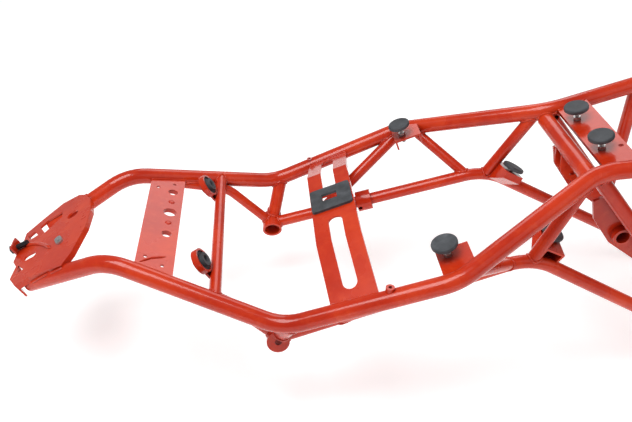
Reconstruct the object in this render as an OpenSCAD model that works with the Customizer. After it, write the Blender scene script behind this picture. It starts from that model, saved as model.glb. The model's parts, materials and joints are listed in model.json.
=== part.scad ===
// Bare tubular main frame of a four wheel sport vehicle, without its wheels,
// engine and bodywork. +X points to the front, +Y to the left side, +Z up.
// The origin lies on the floor under the middle of the frame's overall length.

/* [Tubes] */
// Outer diameter of the two upper rails
rail_d = 25.4; // [24:0.2:26]
// Outer diameter of the cradle tubes
cradle_d = 22.2; // [20:0.2:23]
// Outer diameter of the lower rails
low_d = 20; // [18:0.5:21]
// Outer diameter of the bracing struts
strut_d = 19; // [16:0.5:20]
// Outer diameter of the bent rear struts
rear_strut_d = 16; // [14:0.5:17]
// Outer diameter of the rear posts
post_d = 22; // [20:0.5:23]
// Outer diameter of the rear crossbar
bar_d = 17; // [15:0.5:19]
// Outer diameter of the shock cross tube
xt_d = 25.4; // [23:0.2:26]
// Wall thickness of every tube
wall = 2; // [1.5:0.1:2.5]
// Bend radius of the upper rails at their centreline
rail_bend = 78; // [70:1:84]
// Bend radius of the lower rails and cradle tubes
low_bend = 90; // [80:1:96]

/* [Rear mount sleeves] */
// Outer diameter of the rear mount sleeves
sleeve_d = 33; // [31:0.5:34]
// Bore of the rear mount sleeves
sleeve_bore = 26; // [23:0.5:28]
// Length of the rear mount sleeves
sleeve_len = 32; // [30:0.5:34]
// Bolt hole in the closed outer end of each sleeve
sleeve_hole = 10; // [6:0.5:12]
// Upward tilt of the sleeves' outer ends, in degrees
sleeve_tilt = 14.5; // [10:0.5:16]

/* [Sheet parts] */
// Thickness of the pressed sheet brackets
sheet = 3; // [2.5:0.1:3.2]
// Width of the seat plate along the rail slope
seat_plate_w = 67; // [62:1:70]
// Rise of the seat plate's middle over its welded ends
seat_plate_rise = 34; // [28:1:36]
// Bolt holes in the rear cross plate
plate_hole = 6; // [4:0.5:7]

/* [Rubber bumpers] */
// Diameter of the bumper heads
head_d = 36; // [34:0.5:38]
// Thickness of the bumper heads
head_t = 7; // [6:0.5:8]
// Thread diameter of the bumper studs
stud_d = 6; // [5:1:8]

/* [Bores] */
// Bore of the swing arm pivot sleeves
pivot_bore = 20; // [17:0.5:21]
// Bore of the shock absorber ears
shock_hole = 8.5; // [6:0.5:10]
// Bolt bores of the front arm tabs
arm_hole = 10.5; // [8:0.5:12]
// Bore of the steering bush tube
steer_bore = 30; // [26:0.5:32]

/* [Hidden] */
$fn = 64;
gap = 0.05;         // clearance left between welded neighbours
eps = 1;            // overshoot of cutting tools
elbow_slim = 0.04;  // how much thinner an elbow is than its neighbours
elbow_lap = 0.3;    // angle by which an elbow runs on into each neighbour

RED = "#c8301a";
STEEL = "#9a9ca0";
RUBBER = "#2b2d30";
BLACK = "#1b1b1d";

// Centreline stations of the left side, as [x, y, z]
TAIL = [-677, 67, 190];
HUMP = [-551, 111, 257];
DIP = [-316, 186, 188];
SEAT = [-90, 208, 271];
KNEE = [123, 95, 354];
FLARE = [288, 124, 385];
BROW = [560, 86, 440];
NOSE = [716, 76, 300];
RAIL = [TAIL, HUMP, DIP, SEAT, KNEE, FLARE, BROW, NOSE];

MOUNT = [-323, 142, 127];       // middle of the rear mount sleeve
LOW_APEX = [43, 119, 232];
LOW_END = [376, 136, 44];
LOW = [MOUNT, LOW_APEX, LOW_END];

LEG_TOP = [130, 93, 340];
CRADLE_REAR = [402, 140, 11.1];
CRADLE_FRONT = [690, 92, 11.1];
CRADLE_TOP = [708, 77, 308];
CRADLE = [LEG_TOP, CRADLE_REAR, CRADLE_FRONT, CRADLE_TOP];

// ---- Geometry helpers ----

function unit(v) = v / norm(v);
function side(a, b, c) = let (u = unit(b - a), v = unit(c - b)) unit(v - u * (u * v));
function turn(a, b, c) = acos(unit(b - a) * unit(c - b));
function inset(p, i, r) =
    i == 0 || i == len(p) - 1 ? 0 : r * tan(turn(p[i - 1], p[i], p[i + 1]) / 2);
function along(a, b, x) = a + (b - a) * (x - a[0]) / (b[0] - a[0]);
function slope(a, b) = atan((b[2] - a[2]) / (b[0] - a[0]));
function mirrored(p) = [p[0], -p[1], p[2]];

// Places children so that their +Z runs from a towards b
module aim(a, b) {
    d = b - a;
    translate(a)
        rotate([0, acos(d[2] / norm(d)), atan2(d[1], d[0])])
            children();
}

module rod(a, b, d) {
    aim(a, b)
        cylinder(h = norm(b - a), d = d);
}

// One elbow of a bent bar, tangent to both of its neighbours and lapped into them
module elbow(a, b, c, r, d) {
    u = unit(b - a);
    w = side(a, b, c);
    n = cross(u, w);
    t = turn(a, b, c);
    o = b - u * r * tan(t / 2) + w * r;
    multmatrix([
        [-w[0], u[0], n[0], o[0]],
        [-w[1], u[1], n[1], o[1]],
        [-w[2], u[2], n[2], o[2]],
        [0, 0, 0, 1]
    ])
        rotate([0, 0, -elbow_lap])
            rotate_extrude(angle = t + 2 * elbow_lap)
                translate([r, 0])
                    circle(d = d - elbow_slim);
}

// Solid bar along a chain of stations with round bends; lead lengthens both ends
module bent_rod(p, r, d, lead = 0) {
    n = len(p) - 1;
    for (i = [0 : n - 1]) {
        u = unit(p[i + 1] - p[i]);
        from = p[i] + u * (i == 0 ? -lead : inset(p, i, r));
        to = p[i + 1] - u * (i == n - 1 ? -lead : inset(p, i + 1, r));
        rod(from, to, d);
    }
    for (i = [1 : n - 1])
        elbow(p[i - 1], p[i], p[i + 1], r, d);
}

module bent_tube(p, r, d) {
    difference() {
        bent_rod(p, r, d);
        bent_rod(p, r, d - 2 * wall, lead = eps);
    }
}

module tube(a, b, d) {
    u = unit(b - a) * eps;
    difference() {
        rod(a, b, d);
        rod(a - u, b + u, d - 2 * wall);
    }
}

module flip() {
    mirror([0, 1, 0])
        children();
}

module both() {
    children();
    flip()
        children();
}

// Solid envelopes of the main tubes with the weld gap, used to cope their neighbours
module rail_tool() {
    bent_rod(RAIL, rail_bend, rail_d + 2 * gap);
}

module low_tool() {
    bent_rod(LOW, low_bend, low_d + 2 * gap);
}

module cradle_tool() {
    bent_rod(CRADLE, low_bend, cradle_d + 2 * gap);
}

module place_sleeve() {
    translate(MOUNT)
        rotate([sleeve_tilt - 90, 0, 0])
            children();
}

module sleeve_tool() {
    place_sleeve()
        cylinder(h = sleeve_len + 2 * gap, d = sleeve_d + 2 * gap, center = true);
}

// Flat plate parallel to the XZ plane, centred on a Y station
module side_plate(points, y, t) {
    translate([0, y + t / 2, 0])
        rotate([90, 0, 0])
            linear_extrude(t)
                polygon(points);
}

module cross_bore(x, y, z, d, length) {
    translate([x, y, z])
        rotate([90, 0, 0])
            cylinder(h = length, d = d, center = true);
}

// Rectangular plate with rounded corners lying on the XY plane
module round_plate(l, w, t, r) {
    linear_extrude(t)
        union() {
            square([l - 2 * r, w], center = true);
            square([l, w - 2 * r], center = true);
            for (x = [-1, 1], y = [-1, 1])
                translate([x * (l / 2 - r), y * (w / 2 - r)])
                    circle(r);
        }
}

// ---- Rails and cradle ----

module upper_rail() {
    bent_tube(RAIL, rail_bend, rail_d);
}

module left_upper_rail() color(RED) upper_rail();
module right_upper_rail() color(RED) flip() upper_rail();

module lower_rail() {
    difference() {
        bent_tube(LOW, low_bend, low_d);
        sleeve_tool();
        cradle_tool();
    }
}

module left_lower_rail() color(RED) lower_rail();
module right_lower_rail() color(RED) flip() lower_rail();

module cradle_tube() {
    difference() {
        bent_tube(CRADLE, low_bend, cradle_d);
        rail_tool();
    }
}

module left_cradle_tube() color(RED) cradle_tube();
module right_cradle_tube() color(RED) flip() cradle_tube();

// ---- Struts between the rails ----

REAR_PATH = [[-482, 130, 228], [-396, 141, 204], MOUNT];
rear_strut_bend = 60;
POST_TOP = along(DIP, SEAT, -303);
MID_TOP = SEAT + [2, -3, -1];
MID_LOW = along(MOUNT, LOW_APEX, -236);
VEE_TOP = along(SEAT, KNEE, -74);
VEE_LOW = along(MOUNT, LOW_APEX, 12);
FORE_LOW = LOW_APEX + [2, 0, -3];
FORE_TOP = along(SEAT, KNEE, 104) + [0, 0, -5];
POST_FRONT_TOP = along(KNEE, FLARE, 272);
POST_FRONT_LOW = along(LEG_TOP, CRADLE_REAR, 268);
XT_L = [118, 90, 340];
XT_R = mirrored(XT_L);

module rear_strut_tool() {
    bent_rod(REAR_PATH, rear_strut_bend, rear_strut_d + 2 * gap);
}

module rear_strut() {
    difference() {
        bent_tube(REAR_PATH, rear_strut_bend, rear_strut_d);
        rail_tool();
        sleeve_tool();
        rod(POST_TOP, MOUNT, post_d + 2 * gap);
    }
}

module left_rear_strut() color(RED) rear_strut();
module right_rear_strut() color(RED) flip() rear_strut();

module rear_post() {
    head_room = 24;
    difference() {
        tube(POST_TOP, MOUNT, post_d);
        rail_tool();
        sleeve_tool();
        place_sleeve()
            cylinder(h = sleeve_len, d = head_room);
        low_tool();
    }
}

module left_rear_post() color(RED) rear_post();
module right_rear_post() color(RED) flip() rear_post();

module mid_strut() {
    difference() {
        tube(MID_TOP, MID_LOW, strut_d);
        rail_tool();
        low_tool();
    }
}

module left_mid_strut() color(RED) mid_strut();
module right_mid_strut() color(RED) flip() mid_strut();

module vee_strut() {
    difference() {
        tube(VEE_TOP, VEE_LOW, strut_d - 2);
        rail_tool();
        low_tool();
        rod(MID_TOP, MID_LOW, strut_d + 2 * gap);
    }
}

module left_vee_strut() color(RED) vee_strut();
module right_vee_strut() color(RED) flip() vee_strut();

module fore_strut() {
    difference() {
        tube(FORE_TOP, FORE_LOW, strut_d);
        rail_tool();
        low_tool();
        rod(VEE_TOP, VEE_LOW, strut_d - 2 + 2 * gap);
        rod(XT_L, XT_R, xt_d + 2 * gap);
    }
}

module left_fore_strut() color(RED) fore_strut();
module right_fore_strut() color(RED) flip() fore_strut();

module front_post() {
    difference() {
        tube(POST_FRONT_TOP, POST_FRONT_LOW, strut_d + 2);
        rail_tool();
        cradle_tool();
    }
}

module left_front_post() color(RED) front_post();
module right_front_post() color(RED) flip() front_post();

// ---- Rear mount sleeves ----

module mount_sleeve() {
    floor_t = 4;
    place_sleeve()
        difference() {
            cylinder(h = sleeve_len, d = sleeve_d, center = true);
            translate([0, 0, -floor_t])
                cylinder(h = sleeve_len, d = sleeve_bore, center = true);
            cylinder(h = sleeve_len + 2 * eps, d = sleeve_hole, center = true);
        }
}

module left_mount_sleeve() color(RED) mount_sleeve();
module right_mount_sleeve() color(RED) flip() mount_sleeve();

// ---- Rear crossbar with its rubber mounted rings ----

BAR = [-406, 156, 218];
ring_d = 37;        // outer diameter of the ring tabs
ring_wall = 3;
ring_w = 9;         // length of the ring tabs along their axis
ring_boss = 21;     // outer diameter of the grommets' middle boss
ring_bore = 11;
ring_tilt = 58;     // tilt of the ring axis from the vertical, towards the front
ring_lug = 22;      // width of the lug that joins ring and crossbar
RING = [-425, 98, 238];

module place_ring() {
    translate(RING)
        rotate([0, ring_tilt, 0])
            children();
}

module crossbar() color(RED) {
    difference() {
        tube(BAR, mirrored(BAR), bar_d);
        both() {
            rail_tool();
            rear_strut_tool();
        }
    }
}

module ring_tab() {
    difference() {
        place_ring()
            difference() {
                union() {
                    cylinder(h = ring_w, d = ring_d, center = true);
                    translate([0, -ring_lug / 2, -ring_w / 2])
                        cube([30, ring_lug, sheet]);
                }
                cylinder(h = ring_w + 2 * eps, d = ring_d - 2 * ring_wall, center = true);
            }
        rod(BAR, mirrored(BAR), bar_d + 2 * gap);
    }
}

module left_ring_tab() color(RED) ring_tab();
module right_ring_tab() color(RED) flip() ring_tab();

module ring_grommet() {
    body_d = ring_d - 2 * ring_wall - 2 * gap;
    stand = 4;
    recess = 2;
    place_ring()
        difference() {
            union() {
                translate([0, 0, -ring_w / 2 + recess])
                    cylinder(h = ring_w - 2 * recess, d = body_d);
                cylinder(h = ring_w + 2 * stand, d = ring_boss, center = true);
            }
            cylinder(h = ring_w + 4 * stand, d = ring_bore, center = true);
        }
}

module left_ring_grommet() color(RUBBER) ring_grommet();
module right_ring_grommet() color(RUBBER) flip() ring_grommet();

// ---- Rear cross plate ----

plate_len = 54;
light_x = 10;       // distance of the lightening holes in front of the plate's middle
light_y = 26;       // middle of the row of lightening holes
light_gap = 56;     // spacing of the lightening holes
light_lip = 5;      // depth of the collars round the lightening holes
lip_wall = 2;
PLATE = [-489, 131, 242];
LIGHT_HOLES = [[light_y - light_gap, 15], [light_y, 20], [light_y + light_gap, 15]];
PLATE_BOLTS = [[-14, 90], [11, 105]];

module place_plate() {
    translate([PLATE[0], 0, PLATE[2]])
        rotate([0, -slope(HUMP, DIP), 0])
            children();
}

module rear_plate() color(RED) {
    half_w = PLATE[1] + 4;
    edge_w = 104;
    edge = 8;
    difference() {
        place_plate()
            difference() {
                union() {
                    translate([-plate_len / 2, -half_w, -sheet])
                        cube([plate_len, 2 * half_w, sheet]);
                    translate([plate_len / 2 - sheet, -edge_w, -edge])
                        cube([sheet, 2 * edge_w, edge - sheet / 2]);
                    for (h = LIGHT_HOLES)
                        translate([light_x, h[0], -light_lip - sheet])
                            cylinder(h = light_lip + sheet / 2, d = h[1] + 2 * lip_wall);
                }
                for (h = LIGHT_HOLES)
                    translate([light_x, h[0], 0])
                        cylinder(h = 40, d = h[1], center = true);
                for (b = PLATE_BOLTS, s = [-1, 1])
                    translate([b[0], s * b[1], 0])
                        cylinder(h = 40, d = plate_hole, center = true);
            }
        both() {
            rail_tool();
            rear_strut_tool();
        }
    }
}

// ---- Seat plate with the latch pad ----

SEAT_PLATE = along(DIP, SEAT, -218);
seat_end = 187;        // half width at the welded ends
seat_flat = 90;        // half width of the raised middle
seat_base = 6;         // height of the welded ends over the rail centres
seat_edge = 9;         // depth of the down-turned edges
seat_slot_w = 21;
seat_slot_from = 48;
seat_slot_to = 159;

module place_seat() {
    translate([SEAT_PLATE[0], 0, SEAT_PLATE[2]])
        rotate([0, -slope(DIP, SEAT), 0])
            children();
}

module seat_strip(l, t) {
    top = seat_base + seat_plate_rise;
    rotate([90, 0, 90])
        linear_extrude(l, center = true)
            polygon([
                [-seat_end, seat_base], [-seat_flat, top], [seat_flat, top], [seat_end, seat_base],
                [seat_end, seat_base - t], [seat_flat, top - t],
                [-seat_flat, top - t], [-seat_end, seat_base - t]
            ]);
}

module seat_sheet() {
    seat_strip(seat_plate_w, sheet);
    for (s = [-1, 1])
        translate([s * (seat_plate_w - sheet) / 2, 0, 0])
            seat_strip(sheet, seat_edge);
}

module seat_slot() {
    deep = 160;
    for (y = [seat_slot_from, seat_slot_to])
        translate([0, y, 0])
            cylinder(h = deep, d = seat_slot_w, center = true);
    translate([-seat_slot_w / 2, seat_slot_from, -deep / 2])
        cube([seat_slot_w, seat_slot_to - seat_slot_from, deep]);
}

module seat_plate() color(RED) {
    difference() {
        place_seat()
            difference() {
                seat_sheet();
                both()
                    seat_slot();
                translate([0, pad_y, seat_base + seat_plate_rise])
                    latch_slot();
            }
        both()
            rail_tool();
    }
}

pad_t = 4;
pad_l = 64;
pad_w = 57;
pad_y = 11;            // the pad sits a little to the left of the middle

module latch_slot() {
    translate([-14, -6, -10])
        cube([24, 17, 20]);
}

module latch_pad() color(RUBBER) {
    place_seat()
        translate([0, pad_y, seat_base + seat_plate_rise + gap])
            difference() {
                round_plate(pad_l, pad_w, pad_t, 5);
                latch_slot();
            }
}

// ---- Shock cross tube, ears and the channel plate in front of it ----

ear_y = 11.5;       // distance of each ear from the centre plane
ear_t = 5;
ear_d = 25;
EAR_HOLE = [128, 0, 304];

module shock_cross_tube() color(RED) {
    difference() {
        tube(XT_L, XT_R, xt_d);
        both()
            rail_tool();
        both()
            cradle_tool();
    }
}

module ear() {
    difference() {
        union() {
            side_plate([
                [106, 334], [130, 334], [140.5, 305], [136, 295], [118, 296], [109, 308]
            ], ear_y, ear_t);
            cross_bore(EAR_HOLE[0], ear_y, EAR_HOLE[2], ear_d, ear_t);
        }
        cross_bore(EAR_HOLE[0], ear_y, EAR_HOLE[2], shock_hole, 20);
        rod(XT_L, XT_R, xt_d + 2 * gap);
    }
}

module shock_ears() color(RED) {
    both()
        ear();
}

chan_w = 48;
chan_drop = 20;      // depth of the front flange
chan_lip = 6;        // depth of the rear flange
chan_tilt = 16;
CHAN = [155, 0, 365];

module place_chan() {
    translate(CHAN)
        rotate([0, -chan_tilt, 0])
            children();
}

module channel_plate() color(RED) {
    half = 96;
    difference() {
        place_chan()
            difference() {
                union() {
                    translate([-chan_w / 2, -half, -sheet])
                        cube([chan_w, 2 * half, sheet]);
                    translate([-chan_w / 2, -half, -chan_lip])
                        cube([sheet, 2 * half, chan_lip - sheet / 2]);
                    translate([chan_w / 2 - sheet, -half, -chan_drop])
                        cube([sheet, 2 * half, chan_drop - sheet / 2]);
                }
                for (s = [-1, 1])
                    translate([chan_head_x, s * chan_head_y, -sheet - eps])
                        cylinder(h = sheet + 2 * eps, d = stud_d + 0.6);
                translate([chan_w / 2 - 8, -50, -sheet - eps])
                    cylinder(h = sheet + 2 * eps, d = 7);
            }
        both()
            rail_tool();
        both()
            cradle_tool();
        rod(XT_L, XT_R, xt_d + 2 * gap);
    }
}

// ---- Rubber bumpers ----

chan_head_x = -9;
chan_head_y = 45;
RAIL_SEAT = [-95, 166, 281];    // middle of the rail bracket's upper face
LOW_SEAT = [76.5, 89.6, 247.2]; // middle of the lower bracket's upper face
low_head_tilt = 27;
low_head_lean = 8;
stud_up = 17;       // height of the head's underside over the rail and channel brackets
low_up = 3;         // the same for the lower brackets
stud_down = 13;     // length of the stud below the bracket's upper face
nut_t = 5;
nut_d = 11.5;       // across the corners

module at_rail_head() {
    translate(RAIL_SEAT)
        rotate([0, -slope(DIP, SEAT), 0])
            children();
}

module at_low_head() {
    translate(LOW_SEAT)
        rotate([-low_head_lean, low_head_tilt, 0])
            children();
}

module at_chan_head() {
    place_chan()
        translate([chan_head_x, chan_head_y, 0])
            children();
}

module head(up = stud_up) {
    edge = 2.5;
    translate([0, 0, up])
        rotate_extrude()
            union() {
                square([head_d / 2, head_t - edge]);
                square([head_d / 2 - edge, head_t]);
                translate([head_d / 2 - edge, head_t - edge])
                    circle(r = edge);
            }
}

module stud(up = stud_up) {
    flange_t = 1.6;
    translate([0, 0, -stud_down])
        cylinder(h = stud_down + up - gap, d = stud_d);
    translate([0, 0, up - flange_t - gap])
        cylinder(h = flange_t, d = 16);
}

module rail_head_left() color(RUBBER) at_rail_head() head();
module rail_head_right() color(RUBBER) flip() at_rail_head() head();
module low_head_left() color(RUBBER) at_low_head() head(low_up);
module low_head_right() color(RUBBER) flip() at_low_head() head(low_up);
module chan_head_left() color(RUBBER) at_chan_head() head();
module chan_head_right() color(RUBBER) flip() at_chan_head() head();

module rail_stud_left() color(STEEL) at_rail_head() stud();
module rail_stud_right() color(STEEL) flip() at_rail_head() stud();
module low_stud_left() color(STEEL) at_low_head() stud(low_up);
module low_stud_right() color(STEEL) flip() at_low_head() stud(low_up);
module chan_stud_left() color(STEEL) at_chan_head() stud();
module chan_stud_right() color(STEEL) flip() at_chan_head() stud();

// Nut with a running fit on the stud, resting on the plane at height z
module nut(z) {
    translate([0, 0, z])
        difference() {
            cylinder(h = nut_t, d = nut_d, $fn = 6);
            translate([0, 0, -eps])
                cylinder(h = nut_t + 2 * eps, d = stud_d + 0.1);
        }
}

// Lock nuts on the rail brackets and the channel plate, weld nuts under the lower brackets
module stud_nuts() color(STEEL) {
    both() {
        at_rail_head()
            nut(gap);
        at_chan_head()
            nut(gap);
        at_low_head()
            nut(-sheet - nut_t - gap);
    }
}

// Folded bracket: a top face with two side flanges, reaching out towards +Y
module folded_bracket(back, front, w_in, w_out, drop) {
    difference() {
        union() {
            translate([-back, -w_in, -sheet])
                cube([back + front, w_in + w_out, sheet]);
            for (x = [-back, front - sheet])
                translate([x, -w_in, -drop])
                    cube([sheet, w_in + w_out, drop - sheet / 2]);
        }
        cylinder(h = 3 * sheet, d = stud_d + 0.6, center = true);
    }
}

// Pressed bracket: a top face, two end gussets, an upright wall and a web sloping to the tube
module pressed_bracket(l, w_in, w_out, foot, upright, drop) {
    difference() {
        rotate([90, 0, 90])
            linear_extrude(l, center = true)
                polygon([[-w_in, 0], [w_out, 0], [w_out, -drop], [foot, -drop], [-w_in, -upright]]);
        rotate([90, 0, 90])
            linear_extrude(l - 2 * sheet, center = true)
                polygon([
                    [-w_in + sheet, -sheet], [w_out + eps, -sheet],
                    [w_out + eps, -drop - eps], [foot + sheet, -drop - eps], [-w_in + sheet, 1 - upright]
                ]);
        cylinder(h = 3 * sheet, d = stud_d + 0.6, center = true);
    }
}

module rail_bracket() {
    difference() {
        at_rail_head()
            folded_bracket(15, 30, 15, 35, 17);
        rail_tool();
        rod(MID_TOP, MID_LOW, strut_d + 2 * gap);
        rod(VEE_TOP, VEE_LOW, strut_d - 2 + 2 * gap);
    }
}

module left_rail_bracket() color(RED) rail_bracket();
module right_rail_bracket() color(RED) flip() rail_bracket();

module low_bracket() {
    difference() {
        at_low_head()
            pressed_bracket(32, 17, 36, 24, 12, 32);
        low_tool();
        rod(FORE_TOP, FORE_LOW, strut_d + 2 * gap);
    }
}

module left_low_bracket() color(RED) low_bracket();
module right_low_bracket() color(RED) flip() low_bracket();

// ---- Tail bracket ----

TAIL_MID = [-612, 0, 242.4];    // on the bracket's upper face, between the rails
tail_angle = 28;      // downward slope towards the back
tail_edge = 9;        // depth of the down-turned edge
tail_foot = 24;       // depth of the foot at the right rear corner
tail_hole = 20;
tail_bore = 8.4;
TAIL_BOLT = [-119, 18, 5];      // in the bracket's own frame
bolt_lug = 26;        // width of the lug that holds the bolt
TAIL_OUTLINE = [
    [16, 26], [8, 62], [-6, 86], [-22, 98], [-54, 98], [-86, 80], [-117, 60], [-115, 33],
    [-119, 32], [-119, -12], [-108, -30], [-110, -58], [-92, -84], [-70, -80], [-34, -86],
    [-8, -92], [4, -70], [16, -16]
];
TAIL_OPENINGS = [
    [[-48, 71], [-44, 52], [-72, 30], [-88, 56], [-76, 66]],
    [[-98, 52], [-86, 34], [-101, 32], [-109, 46]],
    [[-103, -31], [-88, -48], [-101, -52]]
];
TAIL_FOOT = [[-110, -58], [-92, -84], [-89.5, -82.5], [-107, -57]];

module place_tail() {
    translate(TAIL_MID)
        rotate([0, -tail_angle, 0])
            children();
}

function shrunk(p) = [for (v = p) [-52 + (v[0] + 52) * 0.955, 3 + (v[1] - 3) * 0.965]];

module tail_oval(deep) {
    oval_d = 13;
    for (x = [-90, -80])
        translate([x, -20, 0])
            cylinder(h = deep, d = oval_d, center = true);
    translate([-85, -20, 0])
        cube([10, oval_d, deep], center = true);
}

module tail_sheet() {
    translate([0, 0, -sheet])
        linear_extrude(sheet)
            polygon(TAIL_OUTLINE);
    translate([0, 0, -tail_edge])
        linear_extrude(tail_edge - sheet / 2)
            difference() {
                polygon(TAIL_OUTLINE);
                polygon(shrunk(TAIL_OUTLINE));
            }
    translate([0, 0, -tail_foot])
        linear_extrude(tail_foot - sheet / 2)
            polygon(TAIL_FOOT);
    translate([TAIL_BOLT[0], TAIL_BOLT[1] - bolt_lug / 2, -sheet])
        cube([sheet, bolt_lug, TAIL_BOLT[2] + bolt_lug / 2]);
}

module tail_bracket() color(RED) {
    deep = 80;
    difference() {
        place_tail()
            difference() {
                tail_sheet();
                linear_extrude(deep, center = true)
                    for (o = TAIL_OPENINGS)
                        polygon(o);
                tail_oval(deep);
                translate([-21, 42, 0])
                    cylinder(h = deep, d = tail_hole, center = true);
                translate(TAIL_BOLT - [eps, 0, 0])
                    rotate([0, 90, 0])
                        cylinder(h = sheet + 2 * eps, d = tail_bore);
            }
        both()
            rail_tool();
    }
}

// Slotted clip that lies on the bracket between its openings
module tail_clip() color(STEEL) {
    clip_l = 11;
    clip_w = 11;
    clip_t = 3;
    place_tail()
        translate([-30, -20, gap])
            rotate([0, 0, -62])
                difference() {
                    union() {
                        for (x = [-clip_l / 2, clip_l / 2])
                            translate([x, 0, 0])
                                cylinder(h = clip_t, d = clip_w);
                        translate([-clip_l / 2, -clip_w / 2, 0])
                            cube([clip_l, clip_w, clip_t]);
                    }
                    translate([-clip_l / 2, -2, 1])
                        cube([clip_l + eps, 4, clip_t]);
                }
}

module tail_bolt() color(BLACK) {
    place_tail()
        translate(TAIL_BOLT - [gap, 0, 0])
            rotate([0, -90, 0])
                union() {
                    cylinder(h = 1.6, d = 18);
                    translate([0, 0, 1.5])
                        cylinder(h = 6, d = 15, $fn = 6);
                    translate([0, 0, -22])
                        cylinder(h = 23, d = 8);
                }
}

// ---- Swing arm pivot plates and sleeves ----

PIVOT = [188, 79, 237];
pivot_d = 28;
pivot_len = 50;
pivot_mid = 67;       // distance of each sleeve's middle from the centre plane
pivot_plate_t = 5;

module pivot_plate() {
    difference() {
        side_plate([
            [134, 296], [152, 306], [200, 250], [262, 178], [262, 152],
            [223, 186], [174, 222], [142, 265]
        ], PIVOT[1], pivot_plate_t);
        cross_bore(PIVOT[0], PIVOT[1], PIVOT[2], pivot_d + 2 * gap, 40);
        cradle_tool();
    }
}

module left_pivot_plate() color(RED) pivot_plate();
module right_pivot_plate() color(RED) flip() pivot_plate();

module pivot_sleeves() color(RED) {
    both()
        difference() {
            cross_bore(PIVOT[0], pivot_mid, PIVOT[2], pivot_d, pivot_len);
            cross_bore(PIVOT[0], pivot_mid, PIVOT[2], pivot_bore, pivot_len + 2 * eps);
            cradle_tool();
        }
}

// ---- Cradle cross tubes and front end ----

ARM_POST_LOW = along(CRADLE_REAR, CRADLE_FRONT, 520);
ARM_POST_TOP = along(FLARE, BROW, 512);
arm_tab_t = 4;
arm_reach = 30;     // distance from the tube's centre to the arm bolt

module arm_post() {
    difference() {
        tube(ARM_POST_LOW, ARM_POST_TOP, strut_d);
        rail_tool();
        cradle_tool();
    }
}

module left_arm_post() color(RED) arm_post();
module right_arm_post() color(RED) flip() arm_post();

BRIDGE = along(FLARE, BROW, 440);
NOSE_BAR = CRADLE_FRONT + (CRADLE_TOP - CRADLE_FRONT) * 0.9;
CROSS_AT = [
    along(CRADLE_REAR, CRADLE_FRONT, 465), along(CRADLE_REAR, CRADLE_FRONT, 565), BRIDGE, NOSE_BAR
];

module cross_tubes() color(RED) {
    for (p = CROSS_AT)
        difference() {
            tube(p, mirrored(p), strut_d);
            both()
                rail_tool();
            both()
                cradle_tool();
        }
}

steer_len = 46;
steer_tilt = 35;
steer_d = steer_bore + 8;

module steering_tube() color(RED) {
    out = (strut_d + steer_d) / 2;
    translate([BRIDGE[0], 0, BRIDGE[2]])
        rotate([0, -steer_tilt, 0])
            difference() {
                translate([out, 0, 0])
                    cylinder(h = steer_len, d = steer_d, center = true);
                translate([out, 0, 0])
                    cylinder(h = steer_len + 2 * eps, d = steer_bore, center = true);
                rotate([90, 0, 0])
                    cylinder(h = 2 * steer_d, d = strut_d + 2 * gap, center = true);
            }
}

// Tab with an arm bolt bore along X, standing out sideways from a tube
module arm_tab(p) {
    difference() {
        translate(p)
            rotate([90, 0, 90])
                linear_extrude(arm_tab_t, center = true)
                    difference() {
                        union() {
                            translate([0, -11])
                                square([arm_reach, 22]);
                            translate([arm_reach, 0])
                                circle(11);
                        }
                        translate([arm_reach, 0])
                            circle(d = arm_hole);
                    }
        cradle_tool();
        rod(ARM_POST_LOW, ARM_POST_TOP, strut_d + 2 * gap);
    }
}

arm_tab_z = 165;    // height of the upper arm bolts
NOSE_UP = CRADLE_TOP - CRADLE_FRONT;
POST_UP = ARM_POST_TOP - ARM_POST_LOW;

module arm_tabs() color(RED) {
    both() {
        arm_tab(along(CRADLE_REAR, CRADLE_FRONT, 492));
        arm_tab(along(CRADLE_REAR, CRADLE_FRONT, 590));
        arm_tab(ARM_POST_LOW + POST_UP * (arm_tab_z - ARM_POST_LOW[2]) / POST_UP[2]);
        arm_tab(CRADLE_FRONT + NOSE_UP * (arm_tab_z - CRADLE_FRONT[2]) / NOSE_UP[2]);
    }
}

// ---- Small welded fittings on the rails ----

CLAMP_FROM = along(MOUNT, LOW_APEX, -173);
CLAMP_TO = along(MOUNT, LOW_APEX, -149);

// Round boss on an upper rail, standing up from the tube
module rail_boss(x, y, d, top, bore) {
    translate(along(DIP, SEAT, x) + [0, y, 0])
        difference() {
            cylinder(h = top, d = d);
            translate([0, 0, -eps])
                cylinder(h = top + 2 * eps, d = bore);
        }
}

// Collar round the left lower rail with a small hole facing inwards
module rail_collar() {
    difference() {
        rod(CLAMP_FROM, CLAMP_TO, low_d + 15);
        translate(CLAMP_FROM + [4, 0, -2])
            rotate([90, 0, 0])
                cylinder(h = low_d + 15, d = 7);
    }
}

module frame_bosses() color(RED) {
    difference() {
        union() {
            flip()
                rail_boss(-176, -2, 12, 19, 5);
            rail_boss(-252, -1, 9, 16, 4);
        }
        both()
            rail_tool();
    }
    difference() {
        rail_collar();
        low_tool();
    }
}

left_upper_rail();
right_upper_rail();
left_lower_rail();
right_lower_rail();
left_cradle_tube();
right_cradle_tube();
left_rear_strut();
right_rear_strut();
left_rear_post();
right_rear_post();
left_mid_strut();
right_mid_strut();
left_vee_strut();
right_vee_strut();
left_fore_strut();
right_fore_strut();
left_front_post();
right_front_post();
left_mount_sleeve();
right_mount_sleeve();
crossbar();
left_ring_tab();
right_ring_tab();
left_ring_grommet();
right_ring_grommet();
rear_plate();
seat_plate();
latch_pad();
shock_cross_tube();
shock_ears();
channel_plate();
rail_head_left();
rail_head_right();
low_head_left();
low_head_right();
chan_head_left();
chan_head_right();
rail_stud_left();
rail_stud_right();
low_stud_left();
low_stud_right();
chan_stud_left();
chan_stud_right();
stud_nuts();
left_rail_bracket();
right_rail_bracket();
left_low_bracket();
right_low_bracket();
tail_bracket();
left_pivot_plate();
right_pivot_plate();
pivot_sleeves();
left_arm_post();
right_arm_post();
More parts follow.
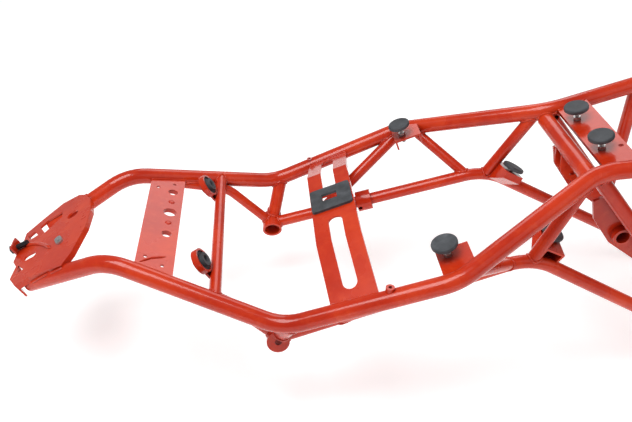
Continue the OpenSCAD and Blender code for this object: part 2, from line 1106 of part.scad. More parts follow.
cross_tubes();
steering_tube();
arm_tabs();
frame_bosses();
tail_bolt();
tail_clip();
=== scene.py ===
import json
import math
import random

import bmesh
import bpy
import numpy as np
from mathutils import Matrix, Vector


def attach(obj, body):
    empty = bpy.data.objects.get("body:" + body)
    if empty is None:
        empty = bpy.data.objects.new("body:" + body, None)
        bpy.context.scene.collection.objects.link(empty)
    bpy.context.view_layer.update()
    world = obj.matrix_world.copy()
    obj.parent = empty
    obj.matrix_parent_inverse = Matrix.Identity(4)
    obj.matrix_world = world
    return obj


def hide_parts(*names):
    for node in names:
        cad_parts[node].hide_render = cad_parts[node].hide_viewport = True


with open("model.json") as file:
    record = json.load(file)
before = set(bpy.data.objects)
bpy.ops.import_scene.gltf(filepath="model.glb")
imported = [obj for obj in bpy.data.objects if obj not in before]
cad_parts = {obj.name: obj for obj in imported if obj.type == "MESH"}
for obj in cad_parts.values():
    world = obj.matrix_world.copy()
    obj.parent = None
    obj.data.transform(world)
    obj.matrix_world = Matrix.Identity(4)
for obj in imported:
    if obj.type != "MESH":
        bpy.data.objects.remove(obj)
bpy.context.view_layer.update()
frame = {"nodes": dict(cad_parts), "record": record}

MM = 0.001
NODES = frame["nodes"]
SIDES = {"left": 1, "right": -1}

# ---- Driving dimensions, in millimetres, as in the CAD frame ----

RAIL_R = 12.7
LOW_R = 10.0
CRADLE_R = 11.1
STRUT_R = 9.5
VEE_R = STRUT_R - 1
REAR_STRUT_R = 8.0
POST_R = 11.0
BAR_R = 8.5
CROSS_R = 12.7
SLEEVE_R = 16.5
SLEEVE_HALF = 16
RAIL_BEND = 78
LOW_BEND = 90
BEND_STEPS = 12
HEAD_R = 18.0
HEAD_T = 7.0
STUD_R = 3.0
STUD_DOWN = 13.0
FLANGE_R = 8.0

# Stations of the left side: the upper rail from tail to nose, the lower rail and the front cradle
TAIL = (-677, 67, 190)
HUMP = (-551, 111, 257)
DIP = (-316, 186, 188)
SEAT = (-90, 208, 271)
KNEE = (123, 95, 354)
FLARE = (288, 124, 385)
BROW = (560, 86, 440)
NOSE = (716, 76, 300)
MOUNT = (-323, 142, 127)
LOW_APEX = (43, 119, 232)
LOW_END = (376, 136, 44)
LEG_TOP = (130, 93, 340)
CRADLE_REAR = (402, 140, 11.1)
CRADLE_FRONT = (690, 92, 11.1)
CRADLE_TOP = (708, 77, 308)
SLEEVE_TILT = 14.5


def along(a, b, x):
    """The point of the line from a to b at the given X."""
    a, b = np.array(a, float), np.array(b, float)
    return a + (b - a) * (x - a[0]) / (b[0] - a[0])


def unit(v):
    v = np.array(v, float)
    return v / np.linalg.norm(v)


def slope(a, b):
    return math.atan2(b[2] - a[2], b[0] - a[0])


def bent(points, radius):
    """A chain of stations with a round bend at each inner one, as a dense polyline."""
    points = [np.array(p, float) for p in points]
    out = [points[0]]
    for a, b, c in zip(points, points[1:], points[2:]):
        u, v = unit(b - a), unit(c - b)
        turn = math.acos(np.clip(u @ v, -1, 1))
        w = unit(v - u * (u @ v))
        centre = b - u * radius * math.tan(turn / 2) + w * radius
        for k in range(BEND_STEPS + 1):
            t = turn * k / BEND_STEPS
            out.append(centre + radius * (u * math.sin(t) - w * math.cos(t)))
    out.append(points[-1])
    return np.array(out)


# Bars that other parts are welded to: a path and a radius
RAIL = (bent((TAIL, HUMP, DIP, SEAT, KNEE, FLARE, BROW, NOSE), RAIL_BEND), RAIL_R)
LOW = (bent((MOUNT, LOW_APEX, LOW_END), LOW_BEND), LOW_R)
CRADLE = (bent((LEG_TOP, CRADLE_REAR, CRADLE_FRONT, CRADLE_TOP), LOW_BEND), CRADLE_R)
SLEEVE_AXIS = np.array((0, math.cos(math.radians(SLEEVE_TILT)), math.sin(math.radians(SLEEVE_TILT))))
SLEEVE_ENDS = [np.array(MOUNT) + end * SLEEVE_HALF * SLEEVE_AXIS for end in (-1, 1)]
SLEEVE = (np.array(SLEEVE_ENDS), SLEEVE_R)

# ---- Materials ----


def node_material(name):
    """A node material: itself, its tree, shader and object coordinates, and a helper that adds nodes."""
    mat = bpy.data.materials.new(name)
    mat.use_nodes = True
    tree = mat.node_tree
    shader = tree.nodes["Principled BSDF"]
    place = tree.nodes.new("ShaderNodeTexCoord")

    def add(kind, inputs=None, **settings):
        node = tree.nodes.new(kind)
        for key, value in settings.items():
            setattr(node, key, value)
        for key, value in (inputs or {}).items():
            if isinstance(value, bpy.types.NodeSocket):
                tree.links.new(value, node.inputs[key])
            else:
                node.inputs[key].default_value = value
        return node

    return mat, tree, shader, place.outputs["Object"], add


def ramp(add, fac, stops):
    """A colour ramp with the given (position, colour) stops."""
    node = add("ShaderNodeValToRGB", {"Fac": fac})
    elements = node.color_ramp.elements
    while len(elements) < len(stops):
        elements.new(0.5)
    for element, (position, colour) in zip(elements, stops):
        element.position = position
        element.color = colour if len(colour) == 4 else (*colour, 1.0)
    return node.outputs["Color"]


def grey(x):
    return (x, x, x)


PAINT_SHADES = ((0.44, 0.018, 0.003), (0.54, 0.028, 0.005), (0.64, 0.046, 0.008))
PAINT_DUST = (0.78, 0.10, 0.02, 1)
# Painted shade: the dark red that the paint turns to in nooks and gaps between parts
PAINT_NOOK_SHADE = (0.24, 0.010, 0.003, 1)
NOOK_REACH = 22 * MM


def paint_material():
    """Glossy red paint: mottled, with a little orange peel, and darkened in the nooks by painted shade."""
    mat, tree, shader, at, add = node_material("red_paint")
    broad = add("ShaderNodeTexNoise", {"Vector": at, "Scale": 9.0, "Detail": 4.0, "Roughness": 0.55})
    mottle = add("ShaderNodeTexNoise", {"Vector": at, "Scale": 70.0, "Detail": 3.0, "Roughness": 0.6})
    base = ramp(add, broad.outputs["Fac"], list(zip((0.32, 0.52, 0.70), PAINT_SHADES)))
    dust = ramp(add, mottle.outputs["Fac"], [(0.50, grey(0.0)), (0.78, grey(0.22))])
    colour = add("ShaderNodeMixRGB", {"Fac": dust, "Color1": base, "Color2": PAINT_DUST})
    # Painted shade: an ambient occlusion mask darkens the paint in nooks and between parts, where shade
    # falls
    nook = add("ShaderNodeAmbientOcclusion", {"Distance": NOOK_REACH}, samples=12)
    open_air = ramp(add, nook.outputs["AO"], [(0.25, grey(0.0)), (0.80, grey(1.0))])
    nook_shaded = add("ShaderNodeMixRGB", {
        "Fac": open_air, "Color1": PAINT_NOOK_SHADE, "Color2": colour.outputs["Color"],
    })
    tree.links.new(nook_shaded.outputs["Color"], shader.inputs["Base Color"])
    gloss = ramp(add, broad.outputs["Fac"], [(0.30, grey(0.20)), (0.75, grey(0.32))])
    tree.links.new(gloss, shader.inputs["Roughness"])
    peel = add("ShaderNodeTexNoise", {"Vector": at, "Scale": 520.0, "Detail": 2.0})
    wave = add("ShaderNodeTexNoise", {"Vector": at, "Scale": 60.0, "Detail": 2.0})
    fine = add("ShaderNodeBump", {"Height": peel.outputs["Fac"], "Strength": 0.10, "Distance": 0.0004})
    bump = add("ShaderNodeBump", {
        "Height": wave.outputs["Fac"],
        "Normal": fine.outputs["Normal"],
        "Strength": 0.10,
        "Distance": 0.002,
    })
    tree.links.new(bump.outputs["Normal"], shader.inputs["Normal"])
    shader.inputs["Specular IOR Level"].default_value = 0.22
    shader.inputs["Coat Weight"].default_value = 0.38
    shader.inputs["Coat Roughness"].default_value = 0.08
    return mat


RUBBER_SHADES = ((0.030, 0.033, 0.038), (0.055, 0.060, 0.068), (0.095, 0.102, 0.112))


def rubber_material():
    """Dull charcoal rubber with a fine grain."""
    mat, tree, shader, at, add = node_material("charcoal_rubber")
    cloud = add("ShaderNodeTexNoise", {"Vector": at, "Scale": 55.0, "Detail": 5.0, "Roughness": 0.6})
    base = ramp(add, cloud.outputs["Fac"], list(zip((0.35, 0.55, 0.75), RUBBER_SHADES)))
    tree.links.new(base, shader.inputs["Base Color"])
    rough = ramp(add, cloud.outputs["Fac"], [(0.35, grey(0.55)), (0.7, grey(0.72))])
    tree.links.new(rough, shader.inputs["Roughness"])
    grain = add("ShaderNodeTexNoise", {"Vector": at, "Scale": 1300.0, "Detail": 2.0})
    bump = add("ShaderNodeBump", {"Height": grain.outputs["Fac"], "Strength": 0.30, "Distance": 0.0003})
    tree.links.new(bump.outputs["Normal"], shader.inputs["Normal"])
    return mat


def metal_material(name, dark, light, metallic, rough_low, rough_high):
    """Plated or blackened steel with a clouded surface and fine scratches."""
    mat, tree, shader, at, add = node_material(name)
    cloud = add("ShaderNodeTexNoise", {"Vector": at, "Scale": 180.0, "Detail": 5.0, "Roughness": 0.65})
    base = ramp(add, cloud.outputs["Fac"], [(0.35, dark), (0.68, light)])
    tree.links.new(base, shader.inputs["Base Color"])
    rough = ramp(add, cloud.outputs["Fac"], [(0.3, grey(rough_low)), (0.7, grey(rough_high))])
    tree.links.new(rough, shader.inputs["Roughness"])
    scratch = add("ShaderNodeTexNoise", {"Vector": at, "Scale": 900.0, "Detail": 2.0})
    bump = add("ShaderNodeBump", {"Height": scratch.outputs["Fac"], "Strength": 0.18, "Distance": 0.0002})
    tree.links.new(bump.outputs["Normal"], shader.inputs["Normal"])
    shader.inputs["Metallic"].default_value = metallic
    return mat


PAINT = paint_material()
RUBBER = rubber_material()
ZINC = metal_material(
    "zinc_plate", dark=(0.42, 0.42, 0.41), light=(0.66, 0.66, 0.67),
    metallic=1.0, rough_low=0.28, rough_high=0.48,
)
BLACK = metal_material(
    "black_oxide", dark=(0.010, 0.010, 0.012), light=(0.030, 0.030, 0.034),
    metallic=0.4, rough_low=0.35, rough_high=0.55,
)
SLOT_MATERIAL = {"frame_paint": PAINT, "rubber": RUBBER, "zinc": ZINC, "black_bolt": BLACK}

# ---- Mesh helpers ----


def piece(name, verts, faces, material, body="frame"):
    """A smooth mesh piece from points in millimetres, riding on a body."""
    mesh = bpy.data.meshes.new(name)
    mesh.from_pydata([tuple(float(c) * MM for c in v) for v in verts], [], faces)
    bm = bmesh.new()
    bm.from_mesh(mesh)
    bmesh.ops.recalc_face_normals(bm, faces=bm.faces)
    for face in bm.faces:
        face.smooth = True
    bm.to_mesh(mesh)
    bm.free()
    obj = bpy.data.objects.new(name, mesh)
    bpy.context.scene.collection.objects.link(obj)
    obj.data.materials.append(material)
    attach(obj, body)
    return obj


def flipped(points, sign):
    """The points, mirrored across the centre plane when sign is -1."""
    return np.array(points, float) * np.array((1, sign, 1))


def crease(obj, angle):
    """Keeps the edges of a smooth piece sharp where they turn by more than the angle, in degrees."""
    obj.data.set_sharp_from_angle(angle=math.radians(angle))


def lathe(profile, frame_matrix, sides=48):
    """Points and faces of a (radius, height) profile turned about local Z, whose ends have radius 0."""
    verts = []
    rings = []
    for r, z in profile:
        if r == 0:
            rings.append([len(verts)])
            verts.append((0, 0, z))
            continue
        rings.append(list(range(len(verts), len(verts) + sides)))
        for k in range(sides):
            t = 2 * math.pi * k / sides
            verts.append((r * math.cos(t), r * math.sin(t), z))
    faces = []
    for low, high in zip(rings, rings[1:]):
        for k in range(sides):
            j = (k + 1) % sides
            if len(low) == 1:
                faces.append((low[0], high[j], high[k]))
            elif len(high) == 1:
                faces.append((low[k], low[j], high[0]))
            else:
                faces.append((low[k], low[j], high[j], high[k]))
    return [tuple(frame_matrix @ Vector(v)) for v in verts], faces


def arc(centre, radius, start, end, steps):
    """Points of a rounded corner in (radius, height), by angles in degrees."""
    out = []
    for k in range(steps + 1):
        t = math.radians(start + (end - start) * k / steps)
        out.append((centre[0] + radius * math.cos(t), centre[1] + radius * math.sin(t)))
    return out


def placed(at, rotations, sign=1):
    """A local frame at a place in millimetres, turned by (axis, degrees) pairs, mirrored for sign -1."""
    m = Matrix.Translation(Vector(at))
    for axis, degrees in rotations:
        m = m @ Matrix.Rotation(math.radians(degrees), 4, axis)
    if sign == -1:
        m = Matrix.Diagonal((1, -1, 1, 1)) @ m
    return m


# ---- Weld beads ----


def distance(points, bar):
    """Distance from points to a bar's surface."""
    path, radius = bar
    a, d = path[:-1], path[1:] - path[:-1]
    rel = points[:, None, :] - a[None]
    t = np.clip((rel * d).sum(2) / (d * d).sum(1), 0, 1)
    gaps = np.linalg.norm(rel - t[..., None] * d, axis=2)
    return gaps.min(1) - radius


MARCH_STEPS = 60
MARCH_SHARE = 0.9
MARCH_GAP = 0.3


def trace(starts, direction, bar, reach):
    """Where rays from the starts meet the bar, and which of them do."""
    starts = np.array(starts, float)
    direction = unit(direction)
    gone = np.zeros(len(starts))
    for _ in range(MARCH_STEPS):
        gone += np.maximum(distance(starts + gone[:, None] * direction, bar), 0) * MARCH_SHARE
    hits = starts + gone[:, None] * direction
    return hits, (gone < reach) & (distance(hits, bar) < MARCH_GAP)


SEAM_POINTS = 72
SEAM_PAST = 25
EDGE_POINTS = 28


def seam(end, back, radius, bar, lead=45):
    """The closed line where a round tube, which comes from back and ends at end, meets a bar."""
    end, back = np.array(end, float), np.array(back, float)
    u = unit(end - back)
    aside = (0.3, 0.2, 1.0)    # any direction that no tube runs along
    e = unit(np.cross(u, aside))
    f = np.cross(u, e)
    starts = [
        end - u * lead + radius * (e * math.cos(t) + f * math.sin(t))
        for t in np.linspace(0, 2 * math.pi, SEAM_POINTS, endpoint=False)
    ]
    hits, good = trace(starts, u, bar, reach=lead + SEAM_PAST)
    return hits[good], bool(good.all())


def edge_seam(a, b, direction, bar, reach=60):
    """The line where a plate's edge from a to b, pushed along direction, meets a bar."""
    a, b = np.array(a, float), np.array(b, float)
    starts = [a + (b - a) * k / (EDGE_POINTS - 1) for k in range(EDGE_POINTS)]
    hits, good = trace(starts, direction, bar, reach)
    return hits[good], False


BEAD_PITCH = 2.4
BEAD_SIDES = 8
RIPPLE_STEPS = 5
RIPPLE_LOW = 0.86
RIPPLE_RISE = 0.20
RIPPLE_NOISE = 0.02
BEAD_TIP = 0.35
BEAD_TAPER = 0.2
FEWEST_POINTS = 8
FEWEST_HITS = 4


def resampled(line, closed, step):
    """The line with evenly spaced points."""
    if closed:
        line = np.vstack([line, line[:1]])
    lengths = np.r_[0, np.cumsum(np.linalg.norm(np.diff(line, axis=0), axis=1))]
    count = max(FEWEST_POINTS, int(lengths[-1] / step))
    at = np.linspace(0, lengths[-1], count, endpoint=not closed)
    return np.array([np.interp(at, lengths, line[:, k]) for k in range(3)]).T


def bead_mesh(line, closed, radius, rng):
    """A rippled weld bead swept along a line."""
    line = resampled(np.array(line), closed, BEAD_PITCH / RIPPLE_STEPS)
    n = len(line)
    ahead = np.roll(line, -1, 0) - np.roll(line, 1, 0)
    if not closed:
        ahead[0], ahead[-1] = line[1] - line[0], line[-1] - line[-2]
    phase = rng.uniform(0, 6)
    verts = []
    aside = (0.4, 0.7, 0.6)    # any direction that no bead starts along
    side = None
    for k in range(n):
        u = unit(ahead[k])
        side = unit(np.cross(u, aside) if side is None else side - u * (side @ u))
        up = np.cross(u, side)
        turn = (k / RIPPLE_STEPS + phase) % 1.0
        noise = rng.uniform(-RIPPLE_NOISE, RIPPLE_NOISE)
        size = radius * (RIPPLE_LOW + RIPPLE_RISE * math.sin(math.pi * turn) + noise)
        if not closed:
            size *= min(1.0, BEAD_TIP + BEAD_TAPER * min(k, n - 1 - k))
        for j in range(BEAD_SIDES):
            t = 2 * math.pi * j / BEAD_SIDES
            verts.append(line[k] + size * (side * math.cos(t) + up * math.sin(t)))
    faces = []
    last = n if closed else n - 1
    for k in range(last):
        low, high = k * BEAD_SIDES, (k + 1) % n * BEAD_SIDES
        for j in range(BEAD_SIDES):
            i = (j + 1) % BEAD_SIDES
            faces.append((low + j, low + i, high + i, high + j))
    if not closed:
        faces.append(tuple(range(BEAD_SIDES)))
        faces.append(tuple(reversed(range((n - 1) * BEAD_SIDES, n * BEAD_SIDES))))
    return verts, faces


def beads(name, lines, radius=2.1):
    """The weld beads of one joint, as one piece on each side of the frame."""
    rng = random.Random(name)
    for label, sign in SIDES.items():
        verts, faces = [], []
        for line, closed in lines:
            if len(line) < FEWEST_HITS:
                continue
            new, quads = bead_mesh(flipped(line, sign), closed, radius, rng)
            faces += [tuple(i + len(verts) for i in q) for q in quads]
            verts += new
        piece(f"weld_{name}_{label}", verts, faces, PAINT)


# Ends of the welded tubes of the left side; times CENTRE, a place moves to the centre plane
POST_TOP = along(DIP, SEAT, -303)
MID_TOP = np.array(SEAT) + (2, -3, -1)
MID_LOW = along(MOUNT, LOW_APEX, -236)
VEE_TOP = along(SEAT, KNEE, -74)
VEE_LOW = along(MOUNT, LOW_APEX, 12)
FORE_LOW = np.array(LOW_APEX) + (2, 0, -3)
FORE_TOP = along(SEAT, KNEE, 104) + (0, 0, -5)
FRONT_POST_TOP = along(KNEE, FLARE, 272)
FRONT_POST_LOW = along(LEG_TOP, CRADLE_REAR, 268)
REAR_STRUT = ((-482, 130, 228), (-396, 141, 204), MOUNT)
BAR = np.array((-406, 156, 218))
CROSS = np.array((118, 90, 340))
ARM_LOW = along(CRADLE_REAR, CRADLE_FRONT, 520)
ARM_TOP = along(FLARE, BROW, 512)
NOSE_BAR_SHARE = 0.9
NOSE_BAR = np.array(CRADLE_FRONT) + (np.array(CRADLE_TOP) - np.array(CRADLE_FRONT)) * NOSE_BAR_SHARE
CENTRE = (1, 0, 1)


def weld_frame():
    """The beads of the struts, posts, lower rails, cradle and cross tubes."""
    beads("rear_strut", [
        seam(REAR_STRUT[0], REAR_STRUT[1], REAR_STRUT_R, RAIL),
        seam(MOUNT, REAR_STRUT[1], REAR_STRUT_R, SLEEVE),
    ])
    beads("rear_post", [seam(POST_TOP, MOUNT, POST_R, RAIL), seam(MOUNT, POST_TOP, POST_R, SLEEVE)])
    beads("mid_strut", [seam(MID_TOP, MID_LOW, STRUT_R, RAIL), seam(MID_LOW, MID_TOP, STRUT_R, LOW)])
    beads("vee_strut", [seam(VEE_TOP, VEE_LOW, VEE_R, RAIL), seam(VEE_LOW, VEE_TOP, VEE_R, LOW)])
    beads("fore_strut", [seam(FORE_TOP, FORE_LOW, STRUT_R, RAIL), seam(FORE_LOW, FORE_TOP, STRUT_R, LOW)])
    beads("front_post", [
        seam(FRONT_POST_TOP, FRONT_POST_LOW, STRUT_R, RAIL),
        seam(FRONT_POST_LOW, FRONT_POST_TOP, STRUT_R, CRADLE),
    ])
    beads("lower_rail", [seam(MOUNT, LOW_APEX, LOW_R, SLEEVE), seam(LOW_END, LOW_APEX, LOW_R, CRADLE)])
    beads("cradle", [
        seam(LEG_TOP, CRADLE_REAR, CRADLE_R, RAIL, lead=60),
        seam(CRADLE_TOP, CRADLE_FRONT, CRADLE_R, RAIL, lead=60),
    ])
    beads("crossbar", [seam(BAR, BAR * CENTRE, BAR_R, RAIL)])
    beads("shock_cross_tube", [seam(CROSS, CROSS * CENTRE, CROSS_R, RAIL)])
    beads("arm_post", [seam(ARM_TOP, ARM_LOW, STRUT_R, RAIL), seam(ARM_LOW, ARM_TOP, STRUT_R, CRADLE)])
    for name, at, bar in (
        ("rear_cross_tube", along(CRADLE_REAR, CRADLE_FRONT, 465), CRADLE),
        ("front_cross_tube", along(CRADLE_REAR, CRADLE_FRONT, 565), CRADLE),
        ("bridge_tube", along(FLARE, BROW, 440), RAIL),
        ("nose_tube", NOSE_BAR, CRADLE),
    ):
        beads(name, [seam(at, at * CENTRE, STRUT_R, bar)])


def plate_frame(at, tilt):
    """A function from plate to frame coordinates, for a plate tilted nose up by so many radians."""
    c, s = math.cos(tilt), math.sin(tilt)
    turn = np.array(((c, 0, -s), (0, 1, 0), (s, 0, c)))
    return lambda x, y, z=0.0: np.array((at[0], 0, at[2])) + turn @ np.array((x, y, z), float)


# Places of the four sheet metal plates on the centre plane, and their tilts about Y
SEAT_PLATE = along(DIP, SEAT, -218)
REAR_PLATE = (-489, 0, 242)
CHAN_PLATE = (155, 0, 365)
TAIL_PLATE = (-612, 0, 242.4)
SEAT_TILT = slope(DIP, SEAT)
REAR_TILT = slope(HUMP, DIP)
CHAN_TILT = math.radians(16)
TAIL_TILT = math.radians(28)
seat_at = plate_frame(SEAT_PLATE, SEAT_TILT)
rear_at = plate_frame(REAR_PLATE, REAR_TILT)
chan_at = plate_frame(CHAN_PLATE, CHAN_TILT)
tail_at = plate_frame(TAIL_PLATE, TAIL_TILT)


# Where the plates' beads start, in plate coordinates, and the way the seat plate's sides slope
SEAT_EDGE_HALF = 33.5
SEAT_EDGE_OUT = 150
SEAT_EDGE_UPPER = 19
SEAT_EDGE_UNDER = 16
SEAT_WING = (0, 97, -34)
REAR_EDGE_HALF = 27
REAR_EDGE_OUT = 60
CHAN_EDGE_HALF = 24
CHAN_EDGE_OUT = 20
TAIL_EDGES = (((-70, 82), (-36, 88)), ((-30, 90), (-8, 94)))
PLATE_BEAD_R = 1.8
THIN_BEAD_R = 1.6


def across(frame_of, half, out, up=0.0):
    """The two ends of a plate's side edge, in frame coordinates."""
    return frame_of(-half, out, up), frame_of(half, out, up)


def weld_plates():
    """The beads of the four sheet metal plates, each found by pushing an edge against the rail."""
    outwards = (0, 1, 0)
    fall = seat_at(*SEAT_WING) - seat_at(0, 0, 0)
    upper = across(seat_at, SEAT_EDGE_HALF, SEAT_EDGE_OUT, SEAT_EDGE_UPPER)
    front, rear = across(seat_at, -SEAT_EDGE_HALF, SEAT_EDGE_OUT, SEAT_EDGE_UNDER)
    beads("seat_plate", [
        edge_seam(*upper, fall, RAIL),
        edge_seam(front, rear, fall, RAIL),
    ], radius=PLATE_BEAD_R)
    rear_edge = across(rear_at, REAR_EDGE_HALF, REAR_EDGE_OUT)
    beads("rear_plate", [edge_seam(*rear_edge, outwards, RAIL, reach=90)], radius=THIN_BEAD_R)
    chan_edge = across(chan_at, CHAN_EDGE_HALF, CHAN_EDGE_OUT)
    beads("channel_plate", [edge_seam(*chan_edge, outwards, RAIL, reach=120)], radius=THIN_BEAD_R)
    down = tail_at(0, 0, -1) - tail_at(0, 0, 0)
    beads("tail_bracket", [
        edge_seam(tail_at(*start), tail_at(*end), down, RAIL, reach=40) for start, end in TAIL_EDGES
    ], radius=PLATE_BEAD_R)


weld_frame()
weld_plates()

# ---- Rubber bumpers ----

# For each kind of bumper: its place on the left side, its turns, and how high its head begins
BUMPERS = {
    "rail": ((-95, 166, 281), [("Y", -math.degrees(SEAT_TILT))], 17.0),
    "low": ((76.5, 89.6, 247.2), [("X", -8), ("Y", 27)], 3.0),
    "chan": (tuple(chan_at(-9, 45)), [("Y", -math.degrees(CHAN_TILT))], 17.0),
}
HEAD_SIDES = 64
THREAD_CREASE = 40


def head_profile(up):
    """Moulded head: tapered underside, rolled edge and a face dished by a fraction of a millimetre."""
    top = up + HEAD_T
    lip, roll, dish = 1.6, 2.3, 0.6
    face = [(HEAD_R - 3.6, 0.05), (HEAD_R - 6.0, 0.35), (7.0, 0.55), (2.0, dish), (0, dish)]
    return (
        [(0, up), (12.5, up), (15.0, up + 0.7)]
        + arc((HEAD_R - lip, up + roll), lip, -70, 0, 4)
        + arc((HEAD_R - roll, top - roll), roll, 0, 82, 6)
        + [(radius, top - depth) for radius, depth in face]
    )


def flange_profile(up):
    """The steel flange beneath a head, with its lower edge softened."""
    low, high = up - 1.65, up - 0.05
    return [(0, low), (FLANGE_R - 0.6, low), (FLANGE_R, low + 0.35), (FLANGE_R, high), (0, high)]


def thread_mesh(frame_matrix, low, high, radius, pitch=1.0, depth=0.55, inset=0.02, sides=24, per_turn=6):
    """A threaded rod: a helical ridge on a closed cylinder, fading out at both ends."""
    count = int((high - low) / pitch * per_turn) + 1
    verts = []
    for i in range(count):
        z = low + (high - low) * i / (count - 1)
        fade = min(1.0, min(i, count - 1 - i) / per_turn)
        for k in range(sides):
            turn = (z / pitch - k / sides) % 1.0
            r = radius - inset - depth * abs(2 * turn - 1) * fade - depth * (1 - fade) / 2
            t = 2 * math.pi * k / sides
            verts.append(tuple(frame_matrix @ Vector((r * math.cos(t), r * math.sin(t), z))))
    faces = []
    for i in range(count - 1):
        for k in range(sides):
            j = (k + 1) % sides
            faces.append((i * sides + k, i * sides + j, (i + 1) * sides + j, (i + 1) * sides + k))
    faces.append(tuple(reversed(range(sides))))
    faces.append(tuple(range((count - 1) * sides, count * sides)))
    return verts, faces


def make_bumpers():
    """Moulded heads and threaded studs, which stand for the CAD's plain ones."""
    for kind, (at, turns, up) in BUMPERS.items():
        for label, sign in SIDES.items():
            # The CAD turns about X first and then about Y, so the matrix product runs Y, X
            m = placed(at, list(reversed(turns)), sign)
            body = f"{kind}_bumper_{label}"
            verts, faces = lathe(head_profile(up), m, HEAD_SIDES)
            head = piece(f"{kind}_pad_{label}", verts, faces, RUBBER, body)
            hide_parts(f"{kind}_head_{label}")
            verts, faces = thread_mesh(m, -STUD_DOWN, up - 1.6, STUD_R)
            flange, more = lathe(flange_profile(up), m)
            faces += [tuple(i + len(verts) for i in f) for f in more]
            stud = piece(f"{kind}_threaded_stud_{label}", verts + flange, faces, ZINC, body)
            crease(stud, THREAD_CREASE)
            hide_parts(f"{kind}_stud_{label}")


make_bumpers()

# ---- Pressed ridges and dimples of the plates, in plate coordinates ----

RIDGE_STEP = 2.0
RIDGE_SIDES = 14
RIDGE_TIP = 0.3
RIDGE_TAPER = 0.2
TAIL_RIDGE_REAR = (-108, 20)
TAIL_RIDGE_FRONT = (-44, -28)
TAIL_RIDGE_BULGE = 8
TAIL_RIDGE_R = 3.2
REAR_RIDGE = ((-20, -104), (-6, -92), (14, -84))
REAR_RIDGE_R = 1.8
DIMPLE_X = 10
DIMPLE_YS = (-2, 54)
DIMPLE_SIDES = 28
DIMPLE_PROFILE = ((0, -0.8), (5.0, -0.8), (5.0, 0.0), (4.2, 0.7), (2.4, 1.2), (0, 1.3))


def ridge(name, points, radius):
    """A smooth pressed ridge that lies along the points."""
    line = resampled(np.array(points), False, RIDGE_STEP)
    verts, faces = [], []
    aside = (0.1, 0.2, 1.0)    # any direction that no ridge starts along
    side = None
    for k, at in enumerate(line):
        u = unit(line[min(k + 1, len(line) - 1)] - line[max(k - 1, 0)])
        side = unit(np.cross(u, aside) if side is None else side - u * (side @ u))
        up = np.cross(u, side)
        size = radius * min(1.0, RIDGE_TIP + RIDGE_TAPER * min(k, len(line) - 1 - k))
        for j in range(RIDGE_SIDES):
            t = 2 * math.pi * j / RIDGE_SIDES
            verts.append(at + size * (side * math.cos(t) + up * math.sin(t)))
    for k in range(len(line) - 1):
        low, high = k * RIDGE_SIDES, (k + 1) * RIDGE_SIDES
        for j in range(RIDGE_SIDES):
            n = (j + 1) % RIDGE_SIDES
            faces.append((low + j, low + n, high + n, high + j))
    faces.append(tuple(range(RIDGE_SIDES)))
    faces.append(tuple((len(line) - 1) * RIDGE_SIDES + j for j in range(RIDGE_SIDES)))
    piece(name, verts, faces, PAINT)


def arch(start, end, bulge, count=9):
    """Points of a shallow arch between two plate positions, bulging towards +Y."""
    t = np.linspace(0, 1, count)
    x = start[0] + (end[0] - start[0]) * t
    y = start[1] + (end[1] - start[1]) * t + bulge * np.sin(math.pi * t)
    return list(zip(x, y))


def make_pressings():
    """The tail bracket's ridge, and the rear plate's ridge and two dimples."""
    path = arch(TAIL_RIDGE_REAR, TAIL_RIDGE_FRONT, TAIL_RIDGE_BULGE)
    ridge("tail_bracket_ridge", [tail_at(x, y, 0.2) for x, y in path], TAIL_RIDGE_R)
    ridge("rear_plate_ridge", [rear_at(x, y, 0.1) for x, y in REAR_RIDGE], REAR_RIDGE_R)
    for index, y in enumerate(DIMPLE_YS):
        m = placed(rear_at(DIMPLE_X, y), [("Y", -math.degrees(REAR_TILT))])
        verts, faces = lathe(DIMPLE_PROFILE, m, DIMPLE_SIDES)
        piece(f"rear_plate_dimple_{index + 1}", verts, faces, PAINT)


make_pressings()

# ---- The CAD nodes' own finish ----

SLOT_OF = {row["node"]: row["material_slot"] for row in frame["record"]["subparts"]}
EDGE_ANGLE = 38
# Width of the softened edges, in millimetres
BEVELLED = {
    "rear_plate": 0.5, "seat_plate": 0.8, "latch_pad": 0.7, "shock_ears": 0.6, "channel_plate": 0.8,
    "tail_bracket": 0.6, "left_pivot_plate": 0.8, "right_pivot_plate": 0.8, "arm_tabs": 0.5,
    "left_rail_bracket": 0.8, "right_rail_bracket": 0.8, "left_low_bracket": 0.8, "right_low_bracket": 0.8,
    "tail_bolt": 0.5, "stud_nuts": 0.4, "left_mount_sleeve": 0.6, "right_mount_sleeve": 0.6,
    "pivot_sleeves": 0.6, "steering_tube": 0.6, "frame_bosses": 0.5, "tail_clip": 0.4,
    "left_ring_tab": 0.6, "right_ring_tab": 0.6, "left_ring_grommet": 0.5, "right_ring_grommet": 0.5,
}


def finish_nodes():
    """Gives each node of the frame its material, and softens the edges of the cut parts."""
    for name, obj in NODES.items():
        obj.data.materials.clear()
        obj.data.materials.append(SLOT_MATERIAL[SLOT_OF[name]])
        if name in BEVELLED:
            soft = obj.modifiers.new("rounded_edges", "BEVEL")
            soft.width = BEVELLED[name] * MM
            soft.segments = 2
            soft.limit_method = "ANGLE"
            soft.angle_limit = math.radians(EDGE_ANGLE)
            soft.harden_normals = False


finish_nodes()

# ---- Stage: floor, light and camera, in metres ----

FLOOR_SIZE = 14
FLOOR_DROP = 0.0005
FLOOR_GREY = (0.86, 0.86, 0.86, 1)
FLOOR_ROUGH = 0.8
FLOOR_GLOW = 0.42
WHITE = (1, 1, 1, 1)
SKY_STRENGTH = 0.30
LIGHT_AIM = (0, 0, 0.2)
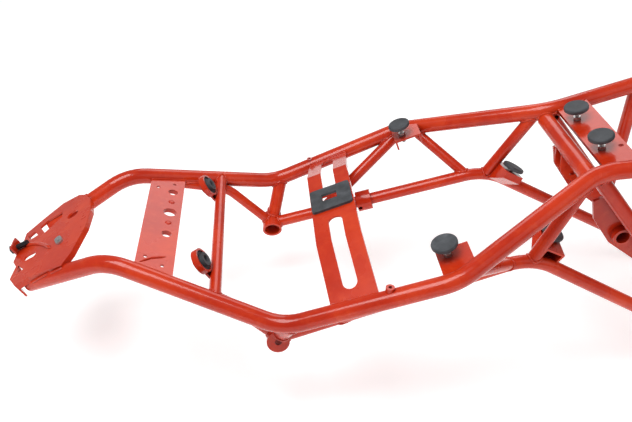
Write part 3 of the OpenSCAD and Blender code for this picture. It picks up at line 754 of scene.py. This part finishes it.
# Name, place, size and power of each area light
LIGHTS = (
    ("key", (-1.0, -0.6, 2.6), 1.5, 54),
    ("fill", (1.8, -1.6, 2.0), 2.2, 9),
    ("back", (0.2, 2.4, 2.2), 1.6, 20),
)
CAMERA_PLACE = (-0.3277, -0.8752, 0.8523)
CAMERA_DOWN = 34.6
CAMERA_TURN = -4.68
CAMERA_LENS = 39.87
CAMERA_SENSOR = 36.0


def stage_material(name, colour, rough, glow):
    """A plain material with a little light of its own."""
    mat, _, shader, _, _ = node_material(name)
    shader.inputs["Base Color"].default_value = colour
    shader.inputs["Roughness"].default_value = rough
    shader.inputs["Emission Color"].default_value = WHITE
    shader.inputs["Emission Strength"].default_value = glow
    return mat


def make_stage():
    """A pale floor, an even sky and three area lights."""
    bpy.ops.mesh.primitive_plane_add(size=FLOOR_SIZE, location=(0, 0, -FLOOR_DROP))
    floor = bpy.context.object
    floor.name = "floor"
    floor.data.materials.append(stage_material("floor_white", FLOOR_GREY, FLOOR_ROUGH, FLOOR_GLOW))
    world = bpy.data.worlds.new("studio")
    bpy.context.scene.world = world
    world.use_nodes = True
    world.node_tree.nodes["Background"].inputs["Color"].default_value = WHITE
    world.node_tree.nodes["Background"].inputs["Strength"].default_value = SKY_STRENGTH
    for name, at, size, power in LIGHTS:
        light = bpy.data.lights.new(name, "AREA")
        light.size = size
        light.energy = power
        lamp = bpy.data.objects.new(name, light)
        lamp.location = at
        lamp.rotation_euler = (Vector(LIGHT_AIM) - Vector(at)).to_track_quat("-Z", "Y").to_euler()
        bpy.context.scene.collection.objects.link(lamp)


def make_camera():
    """The camera of the photograph, as found by fitting."""
    data = bpy.data.cameras.new("camera")
    data.sensor_width = CAMERA_SENSOR
    data.lens = CAMERA_LENS
    camera = bpy.data.objects.new("camera", data)
    camera.location = CAMERA_PLACE
    camera.rotation_euler = (math.radians(90 - CAMERA_DOWN), 0, math.radians(CAMERA_TURN))
    bpy.context.scene.collection.objects.link(camera)
    bpy.context.scene.camera = camera


bpy.context.scene.view_settings.view_transform = "Standard"
make_stage()
make_camera()
